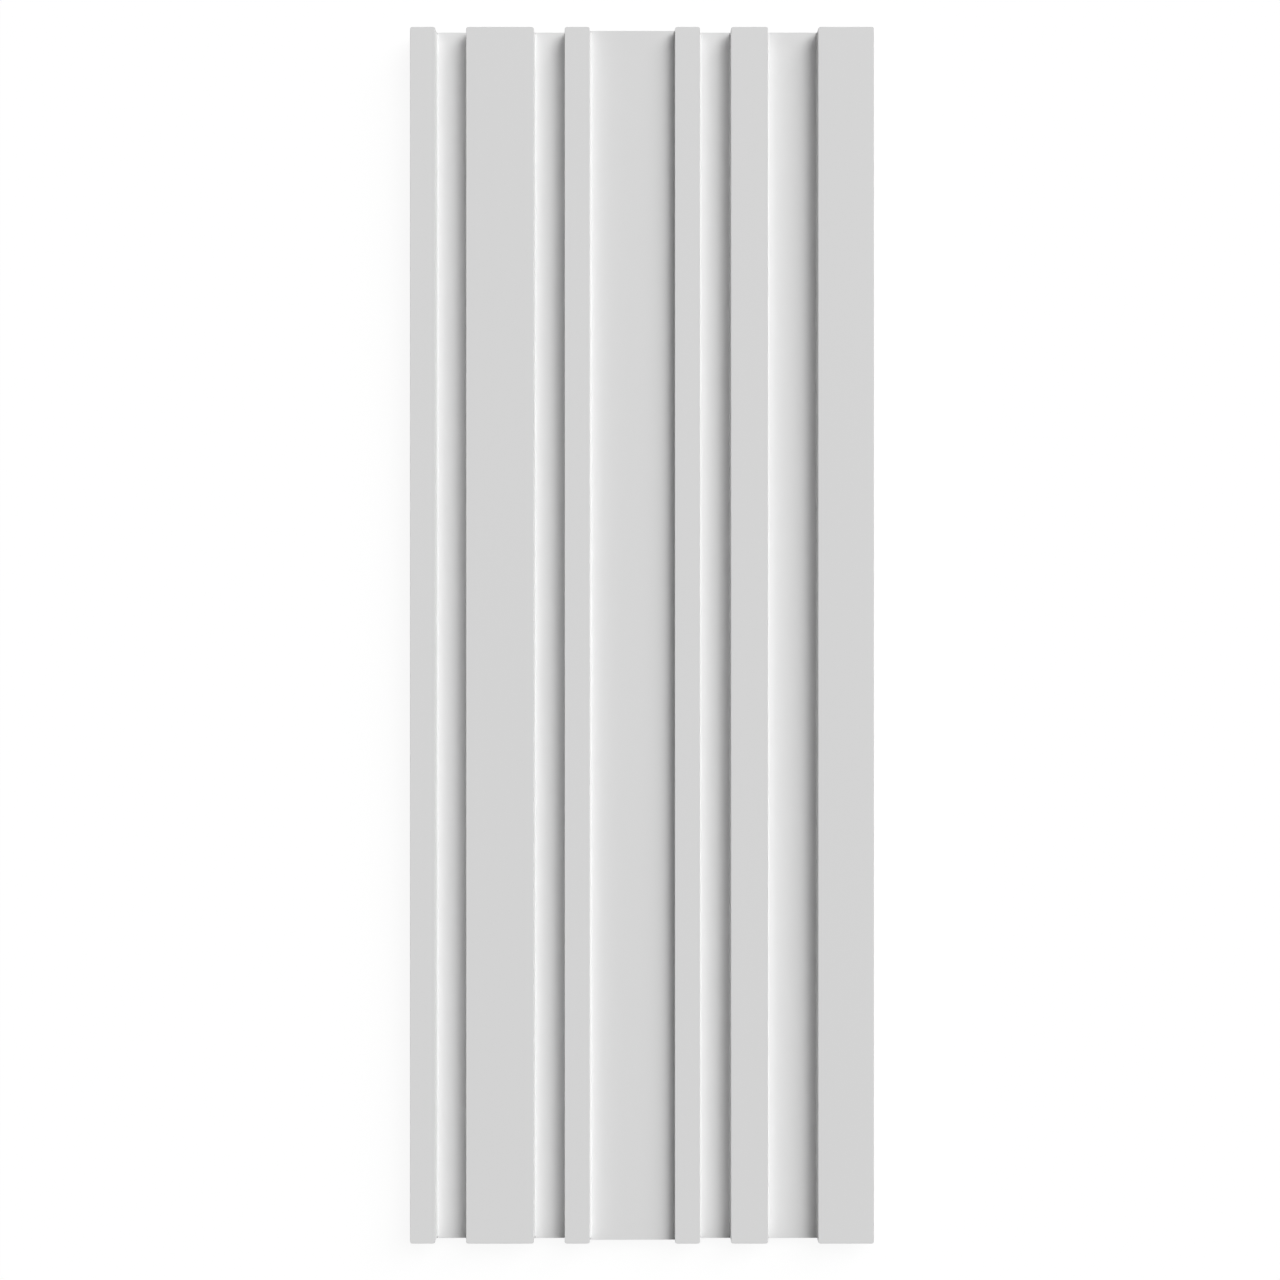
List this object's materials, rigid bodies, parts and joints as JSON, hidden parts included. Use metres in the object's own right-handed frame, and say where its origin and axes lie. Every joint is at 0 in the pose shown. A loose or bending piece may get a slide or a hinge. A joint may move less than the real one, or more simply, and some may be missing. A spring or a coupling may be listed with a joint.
{
  "type": "wall panel",
  "caption": "Flat-backed decorative wall panel whose face has straight, square-edged ribs and grooves of uneven widths along its length, with a shallower channel near the middle.",
  "frame": {"origin": "middle of the flat back face", "axes": "+X across the ribs, +Y along the ribs, +Z out of the ribbed face"},
  "size_m": [0.25, 0.6554, 0.016],
  "materials": {
    "primed_polymer": "matte white primer on foamed polymer"
  },
  "bodies": {
    "root": {"wall_panel": "primed_polymer"}
  },
  "joints": []
}
